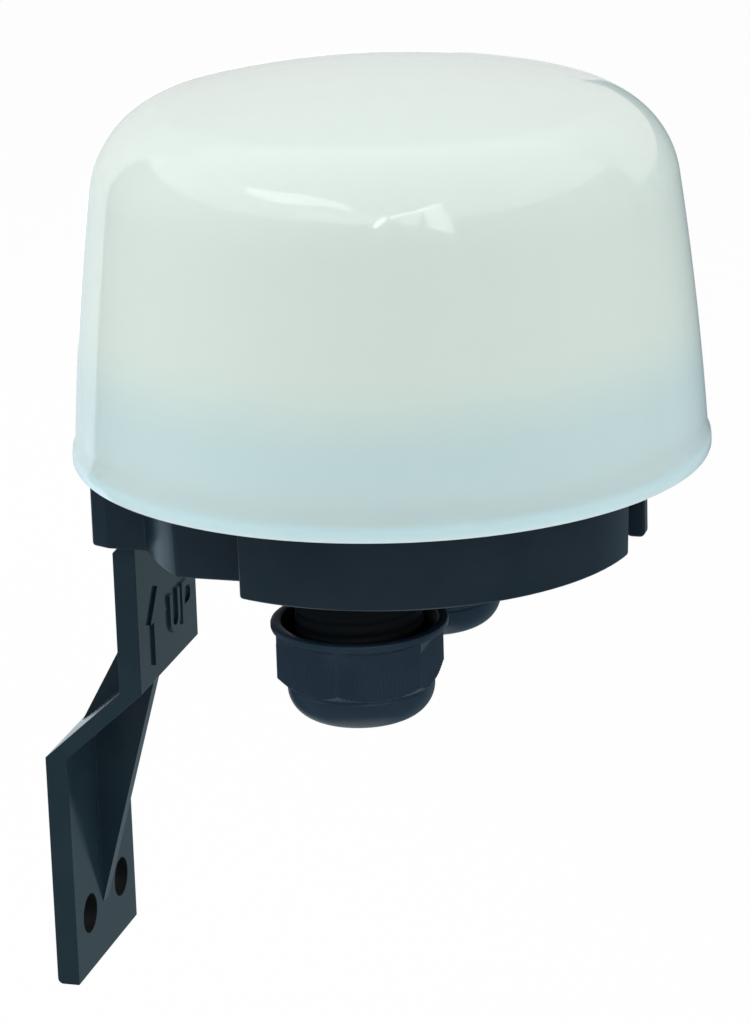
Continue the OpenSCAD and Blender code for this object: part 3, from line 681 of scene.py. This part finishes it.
low, high = span("varistor")
mid, disc_r, disc_half = (low + high) / 2, (high.x - low.x) / 2, (high.y - low.y) / 2
disc_z, lead_gap, edge_r = high.z - disc_r, 5.0, 1.4
disc_profile = [(0, -disc_half), (disc_r * 0.5, -disc_half)]
disc_profile += [(disc_r - edge_r + edge_r * cos(radians(a)), -disc_half + edge_r + edge_r * sin(radians(a)))
                 for a in range(-90, 1, 15)]
disc_profile += [(r, -along) for r, along in disc_profile[::-1]]
shapes = [skin(lying(mid.x, mid.y, disc_z, disc_profile, 56))]
leads = []
for lead_x in (mid.x - lead_gap / 2, mid.x + lead_gap / 2):
    shapes.append(skin(around(lead_x, mid.y, [(0, board_z + 1.3), (lead_r + 0.05, board_z + 1.3),
                                              (lead_r + 0.25, board_z + 2.2), (1.0, board_z + 3.4),
                                              (1.3, board_z + 5.0), (0, board_z + 5.0)], 24)))
    leads += [skin(wire(lead_x, [(mid.y, board_z), (mid.y, board_z + 4.0)])), solder(lead_x, mid.y)]
coat = piece("varistor_disc", together(shapes), "base", dipped, 50)
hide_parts("varistor")
piece("varistor_leads", together(leads), "base", tinned)

# Transistor: a chip moulded in black epoxy with one flat side, on three tinned leads in a row that are
# soldered to the board. It drives the relay's coil.
epoxy = moulded("black_epoxy", tone(22, 22, 24), tone(33, 33, 35), 0.42, 0.3)
low, high = span("transistor")
case_r, case_flat, case_z, case_pitch = (high.x - low.x) / 2, 1.2, board_z + 3.0, 1.4
case_x, case_y = (low.x + high.x) / 2, low.y + case_r


def flat_sided(inset):
    """Radius of the transistor's case as a function of the turn, moved inwards by an inset."""
    return lambda t: min(case_r - inset, (case_flat - inset) / sin(t)) if sin(t) > 0.3 else case_r - inset


case_profile = [(0.25, case_z), (0.0, case_z + 0.25), (0.0, high.z - 0.3), (0.1, high.z - 0.1), (0.3, high.z)]
rings = [ring(case_x, case_y, z, even_turns(72), flat_sided(inset)) for inset, z in case_profile]
rings = [[(case_x, case_y, case_z)]] + rings + [[(case_x, case_y, high.z)]]
case = piece("transistor_case", skin(rings), "base", epoxy)
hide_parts("transistor")
leads = []
for step in (-1, 0, 1):
    lead_x = case_x + case_pitch * step
    leads += [skin(wire(lead_x, [(case_y, board_z), (case_y, case_z + 0.3)])), solder(lead_x, case_y)]
piece("transistor_leads", together(leads), "base", tinned)

# Rectifier diodes: four in a row, black epoxy bodies with a silver band at the end that current leaves.
# Their leads bend down into the board.
banded, shader, place = finish("diode_epoxy", Specular_IOR_Level=0.4)
low, high = span("rectifier_diodes")
row_pitch, lead_out, bend_r = 3.6, 0.7, 0.55
row_y = (low.y + high.y) / 2
diode_r, diode_half = (high.z - board_z) / 2, (high.y - low.y) / 2 - lead_out - lead_r
along = place.axis("y") - row_y
band = 1 - abs(along - 1.55).ramp(0.42, 0.47)
pits = place.noise(0.3, 4.0)
band.mix(pits.mix(tone(20, 20, 22), tone(31, 31, 33)), tone(186, 188, 190)).feeds(shader, "Base Color")
(0.36 + 0.16 * pits).feeds(shader, "Roughness")
pits.bump(0.02).feeds(shader, "Normal")


def bent_lead(x, y, z, half):
    """A lead right through a lying part, bent down into the board at both ends, with its solder."""
    reach = half + lead_out
    path = [(y - reach, board_z)] + arc(y - reach + bend_r, z - bend_r, bend_r, 180, 90, 5)
    path += arc(y + reach - bend_r, z - bend_r, bend_r, 90, 0, 5) + [(y + reach, board_z)]
    return [skin(wire(x, path)), solder(x, y - reach), solder(x, y + reach)]


bodies, leads = [], []
for i in range(4):
    diode_x = low.x + diode_r + i * row_pitch
    half_line = [(0, -diode_half), (diode_r * 0.72, -diode_half), (diode_r - 0.12, -diode_half + 0.22),
                 (diode_r, -diode_half + 0.45)]
    profile = half_line + [(r, -end) for r, end in half_line[::-1]]
    bodies.append(skin(lying(diode_x, row_y, board_z + diode_r, profile)))
    leads += bent_lead(diode_x, row_y, board_z + diode_r, diode_half)
diodes = piece("diode_bodies", together(bodies), "base", banded)
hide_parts("rectifier_diodes")
piece("diode_leads", together(leads), "base", tinned)

# Resistors: three in a row, carbon film on ceramic rods under tan lacquer, thicker over the end caps. Painted
# rings give their values.
lacquered, shader, place = finish("resistor_coat", Specular_IOR_Level=0.5)
low, high = span("resistors")
row_y = (low.y + high.y) / 2
resistor_r, resistor_half = (high.z - board_z) / 2, (high.y - low.y) / 2 - lead_out - lead_r
along = place.axis("y") - row_y
lacquer_haze = place.noise(0.8)
colour = lacquer_haze.mix(tone(196, 160, 112), tone(210, 176, 128))
for ring_y, ring_tone in ((-2.1, tone(92, 52, 26)), (-0.8, tone(24, 22, 22)), (0.3, tone(196, 92, 28)),
                          (2.1, tone(168, 132, 58))):
    colour = (1 - abs(along - ring_y).ramp(0.3, 0.34)).mix(colour, ring_tone)
colour.feeds(shader, "Base Color")
(0.2 + 0.14 * lacquer_haze).feeds(shader, "Roughness")
lacquer_haze.bump(0.03).feeds(shader, "Normal")
bodies, leads = [], []
for i in range(3):
    resistor_x = low.x + resistor_r + i * row_pitch
    half_line = [(0, -resistor_half), (resistor_r * 0.5, -resistor_half),
                 (resistor_r - 0.2, -resistor_half + 0.2), (resistor_r, -resistor_half + 0.6),
                 (resistor_r, -resistor_half + 1.3), (resistor_r - 0.16, -resistor_half + 1.9)]
    profile = half_line + [(r, -end) for r, end in half_line[::-1]]
    bodies.append(skin(lying(resistor_x, row_y, board_z + resistor_r, profile)))
    leads += bent_lead(resistor_x, row_y, board_z + resistor_r, resistor_half)
coated = piece("resistor_bodies", together(bodies), "base", lacquered, 50)
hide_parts("resistors")
piece("resistor_leads", together(leads), "base", tinned)

# Light sensor: a ceramic disc under the dome's crown, with a track of light-sensitive film winding between
# two silvery electrodes under a clear coat. Its two long tinned leads hold it up.
low, high = span("light_sensor")
mid, face_r = (low + high) / 2, (high.x - low.x) / 2
sensor, shader, place = finish("sensor_face", Specular_IOR_Level=0.5, Coat_Weight=0.6, Coat_Roughness=0.05)
off_x, off_y, rise = place.axis("x") - mid.x, place.axis("y") - mid.y, place.axis("z") - low.z
track_pitch, track_half, track_end, track_edge = 1.15, 0.2, 2.1, 0.06
row = off_y * (1 / track_pitch)
nearest, row_below = row.math("ROUND"), row.math("FLOOR")
line_off = abs(row - nearest) * track_pitch
turn_x = track_end - 2 * track_end * row_below.math("PINGPONG", 1.0)
straight = 1 - line_off.ramp(track_half, track_half + track_edge)
straight = straight * (1 - abs(off_x).ramp(track_end + track_half, track_end + track_half + track_edge))
bend = 1 - abs(off_x - turn_x).ramp(track_half, track_half + track_edge)
winding = straight.most(bend) * (1 - abs(off_y).ramp(2.4, 2.46)) * rise.ramp(1.9, 2.0)
speck = place.noise(0.3, 4.0)
plate_tone = speck.mix(tone(208, 196, 160), tone(222, 212, 180))
side_tone = rise.ramp(1.8, 1.95).mix(tone(222, 214, 196), plate_tone)
winding.mix(side_tone, tone(158, 62, 28)).feeds(shader, "Base Color")
(0.3 + 0.15 * speck).feeds(shader, "Roughness")
face_profile = [(0, low.z), (face_r - 0.4, low.z), (face_r - 0.1, low.z + 0.15), (face_r, low.z + 0.5),
                (face_r, high.z - 0.6), (face_r - 0.15, high.z - 0.25), (face_r - 0.6, high.z - 0.05),
                (face_r - 1.2, high.z), (0, high.z)]
disc = piece("sensor_disc", skin(around(mid.x, mid.y, face_profile, 64)), "base", sensor)
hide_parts("light_sensor")
dress("sensor_leads", tinned)
lead_half = 2.0
piece("sensor_solder", together([solder(mid.x - lead_half, mid.y), solder(mid.x + lead_half, mid.y)]), "base",
      tinned)

# Terminal block: a dark moulding with three wire ways, each with a brass clamp that a slotted steel screw
# closes on the wire.
terminal_plastic = moulded("terminal_plastic", tone(34, 40, 46), tone(44, 50, 56), 0.38, 0.4)
soften(dress("terminal_block", terminal_plastic), 0.25)
soften(dress("terminal_screws", steel), 0.12)
clamp_brass = bright_metal("clamp_brass", tone(188, 150, 84), tone(214, 178, 108), 0.3, 0.2)
soften(dress("terminal_clamps", clamp_brass), 0.1)

# Cover seal: a flat ring cut from rubber, which lies on the base's flange. The dome presses it there, and
# it keeps rain out of the housing.
soften(dress("cover_seal", rubber), 0.15)

# Dome cover: a milky thermoplastic moulding with a polished skin, dropped over the base's flange.
# Its wall lets daylight through to the sensor, and its lowest few millimetres are painted greyer and bluer,
# as shade from the dark base behind the wall.
cover_h, lip_r = dome_high.z - dome_low.z, (dome_high.x - dome_low.x) / 2
lip_out, lip_h, cover_wall = 0.3, 1.6, 2.4
cover_r = lip_r - lip_out
side_lean, side_r, shoulder_r, crown_r = radians(3.25), 420.0, 12.0, 112.0
skirt_depth, skirt_r = 4.0, 38.3
side_c = Vector((cover_r - side_r * cos(side_lean), -side_r * sin(side_lean)))
crown_c = Vector((0.0, cover_h - crown_r))


def meeting_point(a, ra, b, rb):
    """Where two circles meet, on the right of the line from a to b."""
    run = b - a
    along = (ra * ra - rb * rb + run.length_squared) / (2 * run.length)
    unit = run.normalized()
    return a + along * unit + sqrt(ra * ra - along * along) * Vector((-unit.y, unit.x))


shoulder_c = meeting_point(side_c, side_r - shoulder_r, crown_c, crown_r - shoulder_r)
side_end = atan2(shoulder_c.y - side_c.y, shoulder_c.x - side_c.x)
crown_start = atan2(shoulder_c.y - crown_c.y, shoulder_c.x - crown_c.x)


def dome_line(inset, start_z):
    """The dome's section from a height on its side up to the axis, with each arc moved inwards by inset."""
    def bow(centre, r, first, last, steps):
        return [(centre.x + r * cos(first + (last - first) * i / steps),
                 centre.y + r * sin(first + (last - first) * i / steps)) for i in range(steps + 1)]
    first = atan((start_z - side_c.y) / sqrt((side_r - inset) ** 2 - (start_z - side_c.y) ** 2))
    line = bow(side_c, side_r - inset, first, side_end, 18)
    line += bow(shoulder_c, shoulder_r - inset, side_end, crown_start, 22)[1:]
    line += bow(crown_c, crown_r - inset, crown_start, pi / 2, 18)[1:]
    line[-1] = (0.0, line[-1][1])
    return line


outside = [(skirt_r + 0.35, 0.0), (lip_r - 0.35, 0.0), (lip_r - 0.1, 0.1), (lip_r, 0.35),
           (lip_r, lip_h - 0.5), (lip_r - 0.06, lip_h - 0.1)] + dome_line(0.0, lip_h + 0.6)
inside = [(skirt_r, 0.35), (skirt_r, skirt_depth)] + dome_line(cover_wall, skirt_depth)
section = [(r, rim_z + z) for r, z in inside[::-1] + outside]

milky, shader, place = finish("milky_dome", Subsurface_Weight=1.0, Subsurface_Scale=0.004,
                              Subsurface_Radius=(1.0, 1.0, 1.0), Coat_Weight=0.35, Coat_Roughness=0.03)
height = place.axis("z") - rim_z
cloud = place.noise(26.0, 2.0)
# Painted shade: the dome is greyer and bluer low down and at its lip, where the dark base lies behind the
# wall.
low_painted_shade = 1 - (height + 3.0 * cloud).ramp(11.0, 22.0)
body_tone = low_painted_shade.mix(tone(224, 241, 231), tone(206, 230, 231))
lip_painted_shade = 1 - height.ramp(1.4, 2.4)
lip_painted_shade.mix(body_tone, tone(198, 230, 238)).feeds(shader, "Base Color")
(0.06 + 0.05 * place.noise(4.0)).feeds(shader, "Roughness")
place.noise(7.0, 1.0).bump(0.012).feeds(shader, "Normal")
dome = piece("dome_moulding", skin(around(0.0, axis_y, section, 224)), "cover", milky, 40)
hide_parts("dome_cover")

# Stage: a pale floor well below the part, soft light panels above, behind and in front of it, and cards that
# only gloss shows: grey walls, a pale ceiling and a window with its panes. The camera has a long lens.
scene = bpy.context.scene
scene.view_settings.view_transform = "Standard"


def seen_rays(tree):
    """1 for what the camera, a gloss or a clear surface sees, and 0 for the light that falls on things."""
    rays = [Shade.node(tree, "LightPath", {}, {}, "Is " + kind + " Ray")
            for kind in ("Camera", "Glossy", "Transmission")]
    return (rays[0] + rays[1] + rays[2]).least(1.0)


world = bpy.data.worlds.new("studio")
world.use_nodes = True
scene.world = world
sky = world.node_tree.nodes["Background"]
sky.inputs["Color"].default_value = (1.0, 1.0, 1.0, 1.0)
sky_level = 0.82
(sky_level + (1 - sky_level) * seen_rays(world.node_tree)).feeds(sky, "Strength")

floor_low, floor_half = -0.35, 12.0
floor_mesh = bpy.data.meshes.new("floor")
floor_mesh.from_pydata([(-floor_half, -floor_half, floor_low), (floor_half, -floor_half, floor_low),
                        (floor_half, floor_half, floor_low), (-floor_half, floor_half, floor_low)],
                       [], [(0, 1, 2, 3)])
ground = bpy.data.objects.new("floor", floor_mesh)
scene.collection.objects.link(ground)
pale, shader, place = finish("pale_floor", Roughness=0.9)
shader.inputs["Base Color"].default_value = (0.95, 0.95, 0.95, 1.0)
tree = pale.node_tree
floor_glow = 0.9
glow = Shade.node(tree, "Emission", {}, {"Color": (1.0, 1.0, 1.0, 1.0), "Strength": 1.0})
lit = Shade.node(tree, "MixShader", {},
                 {0: floor_glow * seen_rays(tree), 1: Shade(shader.outputs[0]), 2: glow})
lit.feeds(tree.nodes["Material Output"], "Surface")
floor_mesh.materials.append(pale)

aim = Vector((0.0, axis_y, rim_z)) * MM


def panel(name, towards, distance, width, height, power):
    """A soft light panel that faces the part, in a direction from it."""
    lamp = bpy.data.lights.new(name, "AREA")
    lamp.shape = "RECTANGLE"
    lamp.size, lamp.size_y = width, height
    lamp.energy = power
    made = bpy.data.objects.new(name, lamp)
    way = Vector(towards).normalized()
    made.location = aim + way * distance
    made.rotation_euler = way.to_track_quat("Z", "Y").to_euler()
    made.visible_glossy = False
    scene.collection.objects.link(made)


panel("top_panel", (-0.1, 0.25, 1.0), 1.6, 1.6, 1.6, 7.0)
panel("back_panel", (-0.35, 1.0, 0.25), 1.6, 1.0, 1.4, 3.0)
panel("front_panel", (0.1, -1.0, 0.2), 1.6, 1.0, 1.4, 2.5)


card_far, card_depth = 1.9, 0.33


def card(name, quads, level, colour=(1.0, 1.0, 1.0, 1.0), nearness=1.0):
    """A reflector that only gloss shows, from quads of azimuth and elevation seen from the part. One with a
    nearness under 1 stands before the others."""
    far, depth = card_far * nearness, card_depth * nearness
    points, faces = [], []
    for quad in quads:
        faces.append(tuple(range(len(points), len(points) + 4)))
        for azimuth, elevation in quad:
            a, e = radians(azimuth), radians(elevation)
            reach = min(far, depth / sin(-e)) if e < 0 else far
            points.append(aim + reach * Vector((sin(a) * cos(e), -cos(a) * cos(e), sin(e))))
    mesh = bpy.data.meshes.new(name)
    mesh.from_pydata(points, [], faces)
    glow = bpy.data.materials.new(name)
    glow.use_nodes = True
    tree = glow.node_tree
    tree.nodes.remove(tree.nodes["Principled BSDF"])
    light = Shade.node(tree, "Emission", {}, {"Color": colour, "Strength": level})
    light.feeds(tree.nodes["Material Output"], "Surface")
    mesh.materials.append(glow)
    made = bpy.data.objects.new(name, mesh)
    scene.collection.objects.link(made)
    for ray in ("camera", "diffuse", "transmission", "volume_scatter", "shadow"):
        setattr(made, "visible_" + ray, False)


strip_width = 8


def screen(first, last, low, high):
    """A curved screen between two azimuths and two elevations, whose low part lies just above the floor."""
    strips = ceil((last - first) / strip_width)
    turns = [first + (last - first) * i / strips for i in range(strips + 1)]
    rises = [low] + [e for e in (-50, -35, -25, -18, -13, -10) if low < e < high] + [high]
    return [((a, c), (b, c), (b, d), (a, d))
            for a, b in zip(turns, turns[1:]) for c, d in zip(rises, rises[1:])]


card("grey_wall", screen(152, 400, -70, 30), 0.14)
card("grey_corner", screen(400, 458, -70, 8), 0.3, (0.7, 0.93, 1.0, 1.0))
card("window_light", screen(98, 152, -70, -4), 0.8, (0.84, 0.95, 1.0, 1.0))
card("window_low", screen(141, 162, -30, -14), 1.15, (0.65, 0.85, 1.0, 1.0), 0.95)
card("window_sill", screen(104, 120, -14, -4), 1.6, (0.9, 0.97, 1.0, 1.0), 0.95)
card("pale_ceiling", screen(98, 152, -4, 45) + screen(40, 98, 8, 45), 0.7)


def strip(low, top):
    """Quads between a lower and an upper line of azimuth and elevation."""
    return [(low[i], low[i + 1], top[i + 1], top[i]) for i in range(len(low) - 1)]


card("window_streak", strip([(-150, 49), (-128, 45), (-115, 46.5), (-103, 47.5), (-90, 43)],
                            [(-155, 53), (-139, 55), (-121, 57), (-102, 54), (-91, 48.5)]), 3.0)
card("window_glow", strip([(-112, 35), (-96, 29), (-85, 24), (-75, 23)],
                          [(-118, 44), (-98, 43), (-86, 42), (-72, 37)]), 1.5)
card("window_pane_dim", [((-68.5, 18), (-61.5, 15), (-60, 40), (-68, 35.5))], 1.8)
card("window_pane_clear", [((-58.5, 9), (-48.5, 1), (-48, 44), (-57, 41.5))], 2.6)
card("window_frame", strip([(-72, 34.5), (-60, 40), (-47, 45.5)],
                           [(-72, 37), (-60, 42.5), (-47, 48)]), 4.5, nearness=0.95)
card("window_spark", [((-80, 25), (-77.5, 25), (-73.5, 36), (-76, 36))], 6.5, nearness=0.95)

turn, tilt, roll, distance = radians(-74.05), radians(17.87), radians(-1.758), 517.5
across, upward = -2.135, -8.588
focal_px, picture_h = 4092.9, 1024
back = Vector((sin(turn) * cos(tilt), -cos(turn) * cos(tilt), sin(tilt)))
sideways = (-back).cross(Vector((0, 0, 1))).normalized()
upright = sideways.cross(-back)
right = sideways * cos(roll) + upright * sin(roll)
up = upright * cos(roll) - sideways * sin(roll)
lens = bpy.data.cameras.new("camera")
lens.sensor_fit = "VERTICAL"
lens.sensor_height = 36.0
lens.lens = focal_px / picture_h * lens.sensor_height
camera = bpy.data.objects.new("camera", lens)
spot = aim + (back * distance + right * across + up * upward) * MM
camera.matrix_world = Matrix(((right.x, up.x, back.x, spot.x), (right.y, up.y, back.y, spot.y),
                              (right.z, up.z, back.z, spot.z), (0, 0, 0, 1)))
scene.collection.objects.link(camera)
scene.camera = camera
